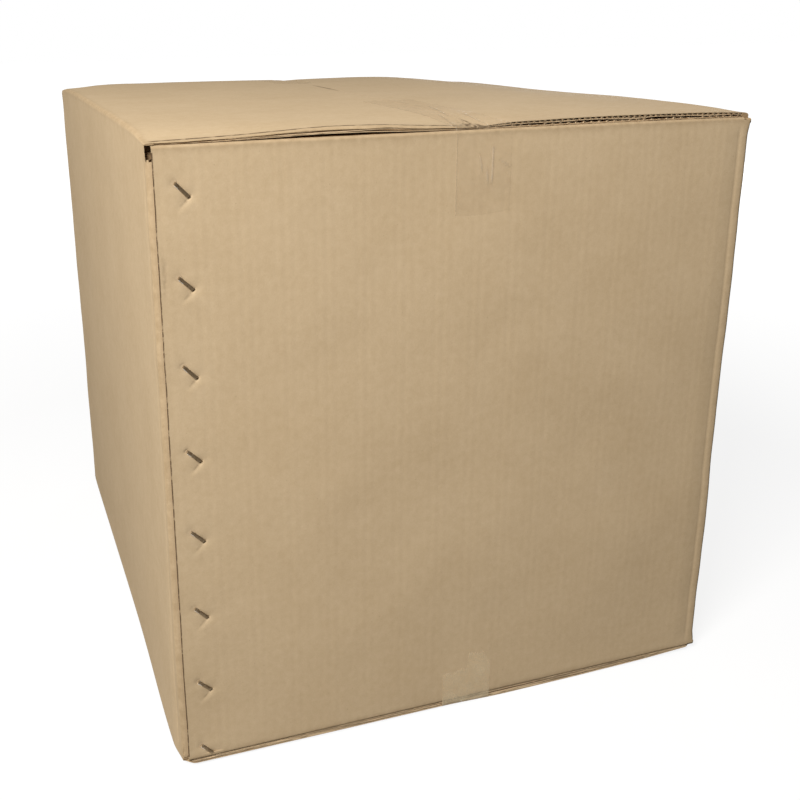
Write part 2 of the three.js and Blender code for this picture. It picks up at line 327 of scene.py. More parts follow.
def settled(point):  # one soft change of shape that every piece goes through
    x, y, z = point
    upper = smooth(height * sway["dropFrom"], height, z)
    drop = readTable(wear["frontPanelDrop"], x) * hump(y, -halfDepth, wear["frontFade"])
    drop += readTable(wear["backDrop"], x) * hump(y, halfDepth, wear["frontFade"])
    drop += readTable(wear["rightDrop"], y) * hump(x, halfWidth, wear["rightDropReach"])
    z -= drop * upper
    middle = smooth(0, sway["bulgeHeight"][0] * height, z)
    middle *= smooth(height, sway["bulgeHeight"][1] * height, z)
    side = sway["bulgeSide"] * halfWidth
    across = smooth(-halfWidth, -side, x) * smooth(halfWidth, side, x)
    ahead = smooth(-sway["bulgeDepth"] * halfDepth, -halfDepth, y)
    y -= wear["frontBulge"] * middle * across * ahead
    low = hump(z, sway["cornerHeight"][0] * height, sway["cornerHeight"][1] * height)
    low *= hump(y, -halfDepth * sway["cornerDepth"][0], sway["cornerDepth"][1] * halfDepth)
    low *= smooth(-sway["cornerSide"] * halfWidth, -halfWidth, x)
    low *= smooth(-halfDepth * sway["cornerFront"][0], -halfDepth * sway["cornerFront"][1], y)
    x -= wear["cornerBulge"] * low
    wave = noise.noise(Vector((x, y, z)) * sway["waveScale"] + Vector(sway["waveStart"]))
    wave += sway["rippleShare"] * noise.noise(Vector((x, y, z)) * sway["rippleScale"])
    wave *= wear["waviness"]
    outX = math.copysign(abs(x / halfWidth) ** sway["wallPower"], x)
    outY = math.copysign(abs(y / halfDepth) ** sway["wallPower"], y)
    calm = sway["calmEdge"]
    steady = smooth(0, calm, z) * smooth(height, height - calm, z)
    start, full = sway["topWaveFrom"]
    rise = wave * smooth(height - start, height - full, z) * sway["topWaveShare"]
    rise -= wear["topSettle"] * upper
    return Vector((x + outX * wave * steady, y + outY * wave * steady, z + rise))


def grooveAt(s, t):
    groove = 0
    for corner in cornerRuns:
        groove += hump(abs(s - corner), wear["grooveFromFold"], wear["grooveWidth"])
    fade = carton["foldFade"]
    return groove * smooth(wallFoot, wallFoot + fade, t) * smooth(wallHead, wallHead - fade, t)


# Where the eight wire stitches press the front panel

stitch = {
    "count": 8,
    "length": 15.2 * mm,
    "width": 2.4 * mm,
    "thickness": 0.7 * mm,
    "angle": math.pi / 4,
    "sink": 0.5 * mm,
    "sinkFade": 1.6 * mm,
    "pressedTo": 60 * mm,
    "dentWidth": 2.3 * mm,
    "pull": 0.55 * mm,
    "pit": 1.1 * mm,
    "creaseDepth": 0.42 * mm,
    "creaseFrom": 1.5 * mm,
    "creaseFade": 3.4 * mm,
    "creaseEdge": 1.1 * mm,
    "creaseStart": (1 * mm, -3 * mm),
    "creaseEnd": (-17 * mm, -8 * mm),
    "creaseVaries": (0.75, 0.25),
    "ridge": (0.3, 3 * mm, 2.2 * mm),
    "creaseShade": 0.4,
    "creaseShadeAt": (0.2 * mm, 0.7 * mm),
    "creaseShadeStart": (-2 * mm, -4 * mm),
    "creaseShadeEnd": (-11 * mm, -7 * mm),
    "wireShade": 0.22,
    "wireShadeAt": (1.6 * mm, 0.7 * mm),
    "wireShadeEnds": (1 * mm, 2 * mm),
    "reach": (30 * mm, 34 * mm),
    "shadeReach": (16 * mm, 18 * mm),
    "bend": 1 * mm,
    "clinch": 5 * mm,
    "clinchGap": 0.65 * mm,
    "crownAt": -0.05 * mm,
    "crownBow": 0.12 * mm,
    "shortLeg": 6 * mm,
}

# Dents by the legs: depth, which end (1 the lower), how far past it, length and width
stitchDents = [
    (stitch["pit"], 1, 0.25 * mm, 0.75 * mm, 1.3 * mm),
    (0.35 * stitch["pit"], -1, 0.2 * mm, 0.6 * mm, 1.1 * mm),
    (stitch["pull"], 1, 0, 5 * mm, 6.5 * mm),
    (0.5 * stitch["pull"], -1, 0, 4.5 * mm, 6 * mm),
]

# Painted shade of the holes by the legs: strength, end, how far past it, length, place across and
# width
stitchShades = [
    (0.8, -1, 0.3 * mm, 0.4 * mm, 0, 1.1 * mm),
    (1.1, 1, 0.5 * mm, 0.55 * mm, -0.2 * mm, 1.3 * mm),
]

stitchCentres = []
for i in range(stitch["count"]):
    lowest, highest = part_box(f"stitch_{i + 1}")
    stitchCentres.append(((lowest.x + highest.x) / 2, (lowest.z + highest.z) / 2))


def alongWire(dx, dz):  # down to the right along a stitch, and up to the right across it
    return (dx - dz) * math.sqrt(0.5), (dx + dz) * math.sqrt(0.5)


def stitchRelief(x, z):  # how far the front panel is pressed in (below 0: pushed out)
    relief = 0
    half = stitch["length"] / 2
    for number, (cx, cz) in enumerate(stitchCentres):
        dx, dz = x - cx, z - cz
        if abs(dx) > stitch["reach"][0] or abs(dz) > stitch["reach"][1]:
            continue
        u, v = alongWire(dx, dz)
        sunk = hump(max(abs(u) - half, 0), 0, stitch["sinkFade"])
        relief += stitch["sink"] * sunk * hump(v, 0, stitch["dentWidth"])
        for depth, end, past, long, wide in stitchDents:
            relief += depth * hump(u, end * (half + past), long) * hump(v, 0, wide)
        # the crease runs down to the left below the lower leg
        steady, varies = stitch["creaseVaries"]
        strength = stitch["creaseDepth"] * (steady + varies * math.sin(2.4 * number + 0.8))
        strength *= smooth(*stitch["creaseStart"], v) * smooth(*stitch["creaseEnd"], v)
        step = u - (half + stitch["creaseFrom"])
        edge = smooth(stitch["creaseEdge"], -stitch["creaseEdge"], step)
        relief += strength * math.exp(-max(-step, 0) / stitch["creaseFade"]) * edge
        share, away, wide = stitch["ridge"]
        relief -= share * strength * hump(step, away, wide)
    return relief


def stitchPaintedShade(x, z):  # painted shade: dark arcs in the holes where the legs go in, the shaded side of each crease, and the wire's shadow beside it
    mark = 0
    half = stitch["length"] / 2
    for cx, cz in stitchCentres:
        dx, dz = x - cx, z - cz
        if abs(dx) > stitch["shadeReach"][0] or abs(dz) > stitch["shadeReach"][1]:
            continue
        u, v = alongWire(dx, dz)
        for dark, end, past, long, across, wide in stitchShades:
            mark += dark * hump(u, end * (half + past), long) * hump(v, across, wide)
        inset, wide = stitch["creaseShadeAt"]
        creased = smooth(*stitch["creaseShadeStart"], v) * smooth(*stitch["creaseShadeEnd"], v)
        mark += stitch["creaseShade"] * hump(u, half - inset, wide) * creased
        past, inside = stitch["wireShadeEnds"]
        beside = smooth(half + past, half - inside, abs(u))
        mark += stitch["wireShade"] * hump(v, *stitch["wireShadeAt"]) * beside
    return mark


def boardPlace(s, t, depth):
    index = wallAt(s)
    low, high = foldHeights(index)
    if index == tab:
        depth *= carton["lapThickness"] / board
    elif index == front:
        lap = smooth(carton["lapWidth"] + 5 * mm, carton["lapWidth"] - 1 * mm, s)
        depth *= 1 - lap * (1 - carton["lapThickness"] / board)
    isTop = t > height / 2
    q = t - high if isTop else low - t
    straight = carton["flapStraight"]
    folding = q > -carton["foldRadius"] - carton["flapFrom"] * isOuter(index)
    isFlap = folding and (t > wallHead or t < wallFoot)
    if q > straight:  # the outer flaps end at a seam that runs a little askew
        y = walls[index]["corner"][1] + walls[index]["way"][1] * (s - walls[index]["end"])
        reach = blankHead - high if isTop else low - blankFoot
        length = carton["innerFlapLength"]
        if isOuter(index):
            seam = seamAt(isTop, y)
            length = halfWidth + (seam if index == left else -seam) - carton["seamGap"] / 2
        q = straight + (q - straight) * (length - straight) / (reach - straight)
    radius = carton["foldRadius"] if isOuter(index) else carton["innerFoldRadius"]
    a, inward = turnCorner(q, depth, radius)
    z = high + a if isTop else low - a
    beyond = min(abs(s - corner) for corner in cornerRuns)
    straightness = 0
    if not isFlap and beyond > 0.2 * mm and index != tab:
        edge = max(t - wallHead, wallFoot - t)
        straightness = smooth(-carton["foldFade"], 0, edge)
    x, y = onPlan(index, s, inward, isFlap, straightness)
    if isFlap and isOuter(index):
        share = endShare(isTop, x, y)
        if isTop:
            z = height - board + (z - height + board) * share + endLift(x, y)
        else:
            z = board - (board - z) * share
            y -= pushedOut(y) * smooth(*wear["bottomPushFold"], q)
    if not isFlap:
        press = wear["grooveDepth"] * grooveAt(s, t)
        if index == front and s < stitch["pressedTo"]:
            press += stitchRelief(x, t)
        wall = walls[index]
        x += wall["inward"][0] * press
        y += wall["inward"][1] * press
    return settled((x, y, z))


def inSlot(s, t, shorter=0):  # the blank is cut away between flaps and past the tab's ends
    index = wallAt(s)
    if index == tab or s > cornerRuns[left]:
        taper = (s - cornerRuns[left]) / carton["tabWidth"] * carton["tabTaper"]
        foot = panelInset + carton["tabFootInset"] + taper
        return t < foot or t > height - panelInset - carton["tabHeadInset"] - taper
    wide, tall = carton["topNotch"] if t > height / 2 else carton["bottomNotch"]
    wide, tall = wide + shorter * 0.5, tall + shorter * 0.4
    rise = min(t, height - t) - board
    if index == left and s > cornerRuns[left] - wide and 0 < rise < tall:
        return s > cornerRuns[left] - wide * (1 - rise / tall) - carton["endTrim"]
    nearRaw = s > cornerRuns[back] + carton["rawCorner"] or s < carton["rawCorner"]
    reach = 0 if nearRaw else carton["cornerReach"]
    if wallFoot - reach < t < wallHead + reach:
        return False
    low, high = foldHeights(index)
    beyond = max(t - high, low - t)
    if index == front and s < carton["rawFoldSlot"][0]:
        return beyond > carton["rawFoldSlot"][1]
    inset = carton["outerFlapInset"] if isOuter(index) else carton["innerFlapInset"]
    shorter = shorter if beyond > board else 0
    nearest = min(cornerRuns, key=lambda c: abs(c - s))
    if nearest == cornerRuns[left]:
        return s > nearest - carton["endTrim"] - shorter
    return abs(s - nearest) < inset + shorter * isOuter(index)


def endDistance(s):  # from the nearer cut end of the outer flap that s lies on
    index = wallAt(s)
    if index == left:
        return cornerRuns[left] - carton["endTrim"] - s
    return min(s - cornerRuns[front], cornerRuns[right] - s) - carton["outerFlapInset"]


# The liner at the front end of the left top flap is rolled over and cracked
rolledEnd = {
    "width": 5 * mm,
    "depth": 2 * mm,
    "rough": 0.6,
    "roughScale": 45,
    "fromFold": (2 * mm, 9 * mm),
    "seamFade": 20 * mm,
    "crackFrom": 6 * mm,
    "crackWidth": 1.6 * mm,
    "crackDark": 1.6,
}


def onLeftTop(s, t):  # 1 where the left top flap's liner is rolled
    if wallAt(s) != left:
        return 0
    start, full = rolledEnd["fromFold"]
    fade = smooth(blankHead, blankHead - rolledEnd["seamFade"], t)
    return smooth(height + start, height + full, t) * fade


def rollAt(s, t):
    share = 1 - min(endDistance(s) / rolledEnd["width"], 1)
    rough = 1 + rolledEnd["rough"] * noise.noise(Vector((t * rolledEnd["roughScale"], 2.2, 0)))
    return rolledEnd["depth"] * share * share * onLeftTop(s, t) * rough


# Painted shade of the pits at the seam's crushed front end: the pits are dark colour only, not
# holes
crushedSeam = {
    "dark": 3,
    "from": 5 * mm,
    "deep": 16 * mm,
    "leftWide": 8 * mm,
    "rightWide": 3.5 * mm,
    "above": 25 * mm,
    "pitScale": (230, 460),
    "pitEdge": (-0.05, 0.2),
}
# Painted shade in the open gap between the left and right top flaps along the seam
openSeamShade = {"from": 345 * mm, "to": 445 * mm, "fade": 20 * mm, "wide": 1.8 * mm, "dark": 1.4}
smudge = {"at": 4 * mm, "wide": 1.6 * mm, "height": 433 * mm, "tall": 12 * mm, "dark": 0.35}
# Painted shadow in the gap along the raw edge of the front panel
rawEdgeShadow = {"dark": 1.6, "fade": (1.1 * mm, 0.4 * mm)}


def crushPitShadeAt(s, t):  # painted shade of the pits in the crushed front corners of the top flaps, where these meet
    index = wallAt(s)
    if index not in (left, right) or t < blankHead - crushedSeam["above"]:
        return 0
    fromEnd = endDistance(s) if index == left else s - cornerRuns[front] - carton["outerFlapInset"]
    wide = crushedSeam["leftWide"] if index == left else crushedSeam["rightWide"]
    acrossScale, upScale = crushedSeam["pitScale"]
    rough = noise.noise(Vector((s * acrossScale, t * upScale, 1.7)))
    crush = smooth(*crushedSeam["pitEdge"], rough) * hump(t, blankHead, wide)
    return crushedSeam["dark"] * crush * hump(fromEnd, crushedSeam["from"], crushedSeam["deep"])


def crackAndShadeAt(s, t):  # dark cracks in the paper, a smudge, and painted shade in pits, gaps and at the stitches
    index, fromEnd = wallAt(s), endDistance(s)
    mark = hump(fromEnd, rolledEnd["crackFrom"], rolledEnd["crackWidth"]) * onLeftTop(s, t)
    mark *= rolledEnd["crackDark"]
    mark += crushPitShadeAt(s, t)
    if index == left:
        # painted shade in the open seam gap
        start, stop, fade = openSeamShade["from"], openSeamShade["to"], openSeamShade["fade"]
        gape = smooth(start, start + fade, fromEnd) * smooth(stop, stop - fade, fromEnd)
        mark += openSeamShade["dark"] * gape * hump(t, blankHead, openSeamShade["wide"])
    if index == front and wallFoot < t < wallHead and s < linerSheet["stitchBand"]:
        mark += stitchPaintedShade(s + rawEdge, t)
        mark += smudge["dark"] * hump(s, smudge["at"], smudge["wide"]) * hump(
            t, smudge["height"], smudge["tall"])
        # painted shadow along the raw edge's gap
        mark += rawEdgeShadow["dark"] * smooth(*rawEdgeShadow["fade"], s)
    return mark


def foldBlank(bm, depthOf):
    uv = bm.loops.layers.uv.new("UVMap")
    # per vertex: real cracks, a smudge, and painted shade in pits, gaps, stitch holes and beside
    # creases
    rub = bm.verts.layers.float.new("rub")
    crackAndShade = bm.verts.layers.float.new("crackAndShade")
    for face in bm.faces:
        for loop in face.loops:
            loop[uv].uv = loop.vert.co.xy
    for vertex in bm.verts:
        s, t, low = vertex.co
        vertex[rub] = rubAt(s, t)
        vertex[crackAndShade] = crackAndShadeAt(s, t)
        vertex.co = boardPlace(s, t, depthOf(s, t, -low))


foldRub = {"corner": [(0.9, 4 * mm), (0.35, 9 * mm)], "flap": [(0.85, 4 * mm)]}


def rubAt(s, t):  # paper pressed and rubbed dull along the folds
    worn = [strength * hump(s, corner, wide)
            for corner in cornerRuns for strength, wide in foldRub["corner"]]
    worn += [strength * hump(t, fold, wide)
             for fold in foldHeights(wallAt(s)) for strength, wide in foldRub["flap"]]
    return max(worn)


def color(red, green, blue):  # screen values 0 to 255, as the shader's linear ones
    return tuple((v / 12.92 if v <= 0.04045 else ((v + 0.055) / 1.055) ** 2.4)
                 for v in (red / 255, green / 255, blue / 255)) + (1.0,)


# Materials

class Nodes:  # short calls for building one material
    def __init__(self, name):
        self.material = bpy.data.materials.new(name)
        self.material.use_nodes = True
        self.tree = self.material.node_tree
        self.tree.nodes.clear()
        self.shader = self.add("ShaderNodeBsdfPrincipled")
        output = self.add("ShaderNodeOutputMaterial")
        self.join(self.shader.outputs["BSDF"], output.inputs["Surface"])

    def add(self, kind, **settings):
        node = self.tree.nodes.new(kind)
        for key, value in settings.items():
            setattr(node, key, value)
        return node

    def join(self, source, target):
        self.tree.links.new(source, target)

    def math(self, operation, first, second=None):
        node = self.add("ShaderNodeMath", operation=operation)
        for socket, value in zip(node.inputs, (first, second)):
            if value is None:
                continue
            if isinstance(value, (int, float)):
                socket.default_value = value
            else:
                self.join(value, socket)
        return node.outputs[0]

    def noise(self, vector, scale, detail=3.0, roughness=0.5, stretch=(1, 1, 1)):
        mapping = self.add("ShaderNodeMapping")
        mapping.inputs["Scale"].default_value = stretch
        self.join(vector, mapping.inputs["Vector"])
        node = self.add("ShaderNodeTexNoise")
        node.inputs["Scale"].default_value = scale
        node.inputs["Detail"].default_value = detail
        node.inputs["Roughness"].default_value = roughness
        self.join(mapping.outputs["Vector"], node.inputs["Vector"])
        return node.outputs["Fac"]

    def mixed(self, factor, first, second):
        node = self.add("ShaderNodeMix", data_type="RGBA")
        sockets = (node.inputs[0], node.inputs[6], node.inputs[7])
        for socket, value in zip(sockets, (factor, first, second)):
            if isinstance(value, (int, float, tuple)):
                socket.default_value = value
            else:
                self.join(value, socket)
        return node.outputs[2]

    def ranged(self, value, low, high, newLow=0.0, newHigh=1.0):
        node = self.add("ShaderNodeMapRange")
        self.join(value, node.inputs["Value"])
        ends = {"From Min": low, "From Max": high, "To Min": newLow, "To Max": newHigh}
        for name, number in ends.items():
            node.inputs[name].default_value = number
        return node.outputs["Result"]

    def bump(self, relief, strength, distance):
        node = self.add("ShaderNodeBump")
        node.inputs["Strength"].default_value = strength
        node.inputs["Distance"].default_value = distance
        self.join(relief, node.inputs["Height"])
        self.join(node.outputs["Normal"], self.shader.inputs["Normal"])


kraft = {
    "paper": color(209, 184, 148),
    "paperDark": color(194, 168, 131),
    "rubbed": color(166, 141, 107),
    # dark brown for real cracks and for painted shade in pits, gaps and at the stitches
    "crackAndShade": color(84, 62, 40),
    "speck": color(120, 92, 62),
    "fibre": color(222, 202, 172),
    "fluteWide": 8.3 * mm,
    "fluteNarrow": 6.6 * mm,
    "fluteShares": (0.6, 0.4),
    "fluteWander": 2.2,
    "washboard": 0.05,
    # Each pattern: scale, detail, roughness and, on the flat blank, its stretch
    "cloudy": (14, 4, 0.6),
    "mottle": (160, 4, 0.65),
    "grain": (900, 2, 0.6),
    "fibres": (1, 3, 0.7, (420, 3400, 1)),
    "strands": (1, 2, 0.5, (3000, 260, 1)),
    "specks": (620, 1, 0.4),
    "broken": (190, 3, 0.6),
    "toneShares": (0.34, 0.42, 0.26, 0.14),
    "strandRange": (0.66, 0.8, 0.0, 0.3),
    "speckRange": (0.75, 0.83, 0.0, 0.25),
    "rubRange": (0.35, 0.65, 0.55, 0.95),
    "crackAndShadeRange": (0.36, 0.56, 0.25, 1.0),
    "crackAndShadeMost": 0.92,
    "mottleRelief": 0.12,
    "grainRelief": 0.05,
    "fibreRelief": 0.05,
    "bump": 0.5,
    "roughness": (0.2, 0.8, 0.82, 0.94),
    "specular": 0.22,
}


def kraftMaterial(name, paper, paperDark):
    n = Nodes(name)
    coordinates = n.add("ShaderNodeTexCoord")
    place, blank = coordinates.outputs["Object"], coordinates.outputs["UV"]
    cloudy, mottle, grain = (n.noise(place, *kraft[k]) for k in ("cloudy", "mottle", "grain"))
    fibres, strands = (n.noise(blank, *kraft[k]) for k in ("fibres", "strands"))
    tone = None
    for pattern, share in zip((cloudy, mottle, grain, fibres), kraft["toneShares"]):
        part = n.ranged(pattern, 0.3, 0.7, 0.0, share)
        tone = part if tone is None else n.math("ADD", tone, part)
    base = n.mixed(tone, paper, paperDark)
    base = n.mixed(n.ranged(strands, *kraft["strandRange"]), base, kraft["fibre"])
    specks = n.noise(place, *kraft["specks"])
    base = n.mixed(n.ranged(specks, *kraft["speckRange"]), base, kraft["speck"])
    rub = n.add("ShaderNodeAttribute", attribute_name="rub").outputs["Fac"]
    patchy = n.math("MULTIPLY", rub, n.ranged(mottle, *kraft["rubRange"]))
    base = n.mixed(patchy, base, kraft["rubbed"])
    # Real cracks and painted shade darken the paper towards the dark brown
    crackAndShade = n.add("ShaderNodeAttribute", attribute_name="crackAndShade").outputs["Fac"]
    broken = n.ranged(n.noise(place, *kraft["broken"]), *kraft["crackAndShadeRange"])
    crackedAndShaded = n.math("MINIMUM", n.math("MULTIPLY", crackAndShade, broken), kraft["crackAndShadeMost"])
    base = n.mixed(crackedAndShaded, base, kraft["crackAndShade"])
    n.join(base, n.shader.inputs["Base Color"])
    n.join(n.ranged(mottle, *kraft["roughness"]), n.shader.inputs["Roughness"])
    n.shader.inputs["Specular IOR Level"].default_value = kraft["specular"]

    # The flutes show through the liner as a faint washboard
    split = n.add("ShaderNodeSeparateXYZ")
    n.join(blank, split.inputs[0])
    waves = None
    for pitch, share in zip((kraft["fluteWide"], kraft["fluteNarrow"]), kraft["fluteShares"]):
        wander = n.math("MULTIPLY", cloudy, kraft["fluteWander"])
        phase = n.math("MULTIPLY", split.outputs["X"], 2 * math.pi / pitch)
        wave = n.math("SINE", n.math("ADD", phase, wander))
        wave = n.math("MULTIPLY", wave, share)
        waves = wave if waves is None else n.math("ADD", waves, wave)
    relief = n.math("MULTIPLY", waves, kraft["washboard"])
    for pattern, share in ((mottle, kraft["mottleRelief"]), (grain, kraft["grainRelief"]),
                           (fibres, kraft["fibreRelief"])):
        relief = n.math("ADD", relief, n.math("MULTIPLY", pattern, share))
    n.bump(relief, kraft["bump"], 1 * mm)
    return n.material


kraftPaper = kraftMaterial("kraft_paper", kraft["paper"], kraft["paperDark"])
kraftInside = kraftMaterial("kraft_layers", color(206, 182, 148), color(186, 160, 124))
# A darker copy for the cut edges: the cut board's own brown, with painted shade of the open flutes
# and the gaps behind them
kraftCutShaded = kraftMaterial("kraft_cut_shaded", color(158, 131, 98), color(138, 110, 78))
print("materials ready")


# The outer liner: one sheet for the whole blank, and the board behind it

linerSheet = {
    "thickness": 0.55 * mm,
    "step": 15 * mm,
    "wallStep": 9 * mm,
    "marginStep": 8 * mm,
    "stitchBand": 48 * mm,
    "stitchCuts": 5,
    "stitchReach": (16 * mm, 19 * mm, 14 * mm),
    "tipCuts": 2,
    "tipReach": 3.4 * mm,
    "rawCuts": (0.3, 0.55, 0.85, 1.4, 2.1),
    "endStep": 0.8 * mm,
    "endCuts": 38,
}
boardCore = {
    "step": 45 * mm,
    "marginStep": 16 * mm,
    "endInset": 14 * mm,
    "rawStrip": 10 * mm,
    "rawInset": 1.3 * mm,
    "bond": 0.96,
}
cornerSteps = ((-13, 1.25), (-8, 2), (-4, 1), (4, 2), (8, 1.25), (13, None))  # place and step, mm


def blankColumns(step, marginStep, start=0):
    stops = [(start, marginStep), (linerSheet["stitchBand"], step)]
    for corner in cornerRuns:
        for offset, near in cornerSteps:
            place = corner + offset * mm
            if place < walls[tab]["end"]:
                stops.append((place, near * mm if near else step))
        stops[-1] = (stops[-1][0], step)
    stops.append((walls[tab]["end"], step))
    columns = spread(*stops)
    extra = [start, carton["rawFoldSlot"][0]]
    extra += [cut * mm for cut in linerSheet["rawCuts"] if start == 0]
    sides = ("inner", "outer", "inner", "outer", None)
    inset = {"inner": carton["innerFlapInset"], "outer": carton["outerFlapInset"]}
    for corner, before, after in zip(cornerRuns, sides, sides[1:]):
        if corner == cornerRuns[left]:
            flapEnd = corner - carton["endTrim"]
            extra += [flapEnd, flapEnd - boardCore["endInset"]]
            cuts = range(1, linerSheet["endCuts"] + 1)
            extra += [flapEnd - cut * linerSheet["endStep"] for cut in cuts]
            continue
        way = 1 if after == "outer" else -1
        extra += [corner - inset[before], corner + inset[after]]
        extra += [corner + way * (inset["outer"] + boardCore["endInset"])]
    return sorted(set(round(c, 6) for c in columns + extra))


def blankRows(step, wallStep):
    stops = [(blankFoot, step), (-12 * mm, 2 * mm), (-4 * mm, 1 * mm), (wallFoot, 1.6 * mm),
             (wallFoot + carton["foldFade"], wallStep),
             (wallHead - carton["foldFade"], 1.6 * mm), (wallHead, 1 * mm),
             (height + 4 * mm, 2 * mm), (height + 12 * mm, step), (blankHead - 12 * mm, 1 * mm),
             (blankHead, step)]
    return sorted(set(round(r, 6) for r in spread(*stops)))


def cutSlots(bm, shorter=0):
    gone = []
    for face in bm.faces:
        middle = face.calc_center_median()
        if inSlot(middle.x, middle.y, shorter):
            gone.append(face)
    bmesh.ops.delete(bm, geom=gone, context="FACES")


def refine(bm, isNear, cuts):  # a finer grid where isNear says so
    edges = set()
    for face in bm.faces:
        middle = face.calc_center_median()
        if isNear(middle.x, middle.y):
            edges.update(face.edges)
    bmesh.ops.subdivide_edges(bm, edges=list(edges), cuts=cuts, use_grid_fill=True)


def nearStitch(s, t):
    if s > linerSheet["stitchBand"] or not wallFoot < t < wallHead:
        return False
    beside, below, above = linerSheet["stitchReach"]
    return any(abs(s + rawEdge - cx) < beside and -below < t - cz < above
               for cx, cz in stitchCentres)


stitchRun = stitch["length"] / 2 * math.cos(stitch["angle"])
stitchRise = stitch["length"] / 2 * math.sin(stitch["angle"])
stitchTips = [(cx - rawEdge + side * stitchRun, cz - side * stitchRise)
              for cx, cz in stitchCentres for side in (-1, 1)]


def nearTip(s, t):
    return s < linerSheet["stitchBand"] and any(
        math.hypot(s - x, t - z) < linerSheet["tipReach"] for x, z in stitchTips)


bm = flatGrid(blankColumns(linerSheet["step"], linerSheet["marginStep"]),
              blankRows(linerSheet["step"], linerSheet["wallStep"]))
cutSlots(bm)
refine(bm, nearStitch, linerSheet["stitchCuts"])
refine(bm, nearTip, linerSheet["tipCuts"])
thicken(bm, linerSheet["thickness"])
markRim(bm, linerSheet["rawCuts"][0] * mm)
sharpRims(bm)
foldBlank(bm, lambda s, t, depth: depth + rollAt(s, t))
outerLiner = addPiece("outer_liner", bm, [kraftPaper, kraftCutShaded], ["carton"])
print("outer liner:", len(outerLiner.data.polygons), "faces")

bm = flatGrid(blankColumns(boardCore["step"], boardCore["marginStep"], boardCore["rawInset"]),
              blankRows(boardCore["step"], boardCore["step"]))
cutSlots(bm, boardCore["endInset"])
behindStitches = []
for face in bm.faces:
    middle = face.calc_center_median()
    inBand = boardCore["rawStrip"] < middle.x < linerSheet["stitchBand"]
    if inBand and wallFoot < middle.y < wallHead:
        behindStitches.append(face)
bmesh.ops.delete(bm, geom=behindStitches, context="FACES")
thicken(bm, 1)
markRim(bm)
sharpRims(bm)


def coreDepth(s, t, level):
    return linerSheet["thickness"] * boardCore["bond"] + level * (board - linerSheet["thickness"])


foldBlank(bm, coreDepth)
boardInside = addPiece("board_core", bm, [kraftInside, kraftCutShaded], ["carton"])
print("board core:", len(boardInside.data.polygons), "faces")


# The cut ends of the outer flaps, layer by layer: two liners and two rows of flutes under the
# outer liner

flapEnds = {
    "liner": 0.75 * mm,
    "middleLiner": 2.6 * mm,
    "innerLiner": 5.4 * mm,
    "deep": 15 * mm,
    "upperFlute": 1.58 * mm,
    "upperHeight": 1.75 * mm,
    "lowerFlute": 4.28 * mm,
    "lowerHeight": 2 * mm,
    "paper": 0.36 * mm,
    "pitch": 5.2 * mm,
    "lowerPitch": 7.2 * mm,
    "slant": 1.25 * mm,
    "ragged": 0.5 * mm,
    "rollInset": 5 * mm,
    "endTrim": 0.5 * mm,
    "fromFold": 4.2 * mm,
    "lay": (0, 1.2 * mm, 4 * mm),
    "middleWave": 0.9 * mm,
    "innerWave": 0.35 * mm,
    "waveFade": 8 * mm,
    "waveScale": 38,
    "roughScales": (160, 700),
    "uneven": (0.55, 0.7, 60),
    "wander": (1.1, 9),
}


def ragged(t, seed, size=1.0):  # how far a layer's torn end stays back
    broad, fine = flapEnds["roughScales"]
    rough = noise.noise(Vector((t * broad, seed, 0)))
    rough += 0.5 * noise.noise(Vector((t * fine, seed, 4)))
    return flapEnds["ragged"] * size * (0.6 + rough)


def fluteLevel(phase):  # 0 on the lower liner, 1 on the upper; a broad foot and a narrow crest
    phase -= math.floor(phase)
    return math.sin(math.pi * (phase - 0.5) / 0.5) ** 2 if phase > 0.5 else 0


def layerSheet(whole, end, way, rows, columns, depthAt, thickness, seed, size=1.0):
    bm = flatGrid(columns, rows)
    thicken(bm, thickness)
    sharpRims(bm)
    uv = bm.loops.layers.uv.new("UVMap")
    for face in bm.faces:
        for loop in face.loops:
            loop[uv].uv = loop.vert.co.xy
    for vertex in bm.verts:
        back, t, low = vertex.co
        back += ragged(t, seed, size) * smooth(flapEnds["deep"], 0, back)
        depth, shift = depthAt(back, t)
        vertex.co = boardPlace(end + way * back, t + shift, depth - low)
    mesh = bpy.data.meshes.new("layer")
    bm.to_mesh(mesh)
    bm.free()
    whole.from_mesh(mesh)
    bpy.data.meshes.remove(mesh)


def linerLevel(base, size, seed):  # a loose liner waves up and down at its cut end
    def depthAt(back, t):
        wave = size * noise.noise(Vector((t * flapEnds["waveScale"], seed, 2.5)))
        return base + wave * hump(back, 0, flapEnds["waveFade"]), 0
    return depthAt


def crossFlutes(base, tall, pitch, seed, isUneven):  # flutes seen from their open ends
    def depthAt(back, t):
        level = fluteLevel(t / pitch)
        if isUneven:
            least, varies, scale = flapEnds["uneven"]
            level *= least + varies * noise.noise(Vector((t * scale, seed, 9)))
        return base + tall * (0.5 - level), flapEnds["slant"] * (level - 0.5) * 2
    return depthAt


def alongFlutes(base, tall, pitch, seed):  # flutes that run beside the cut
    def depthAt(back, t):
        size, scale = flapEnds["wander"]
        wander = size * noise.noise(Vector((t * scale, seed, 5.5)))
        level = 0.5 + 0.5 * math.sin(2 * math.pi * (back / pitch + wander))
        return base + tall * (0.5 - level), 0
    return depthAt


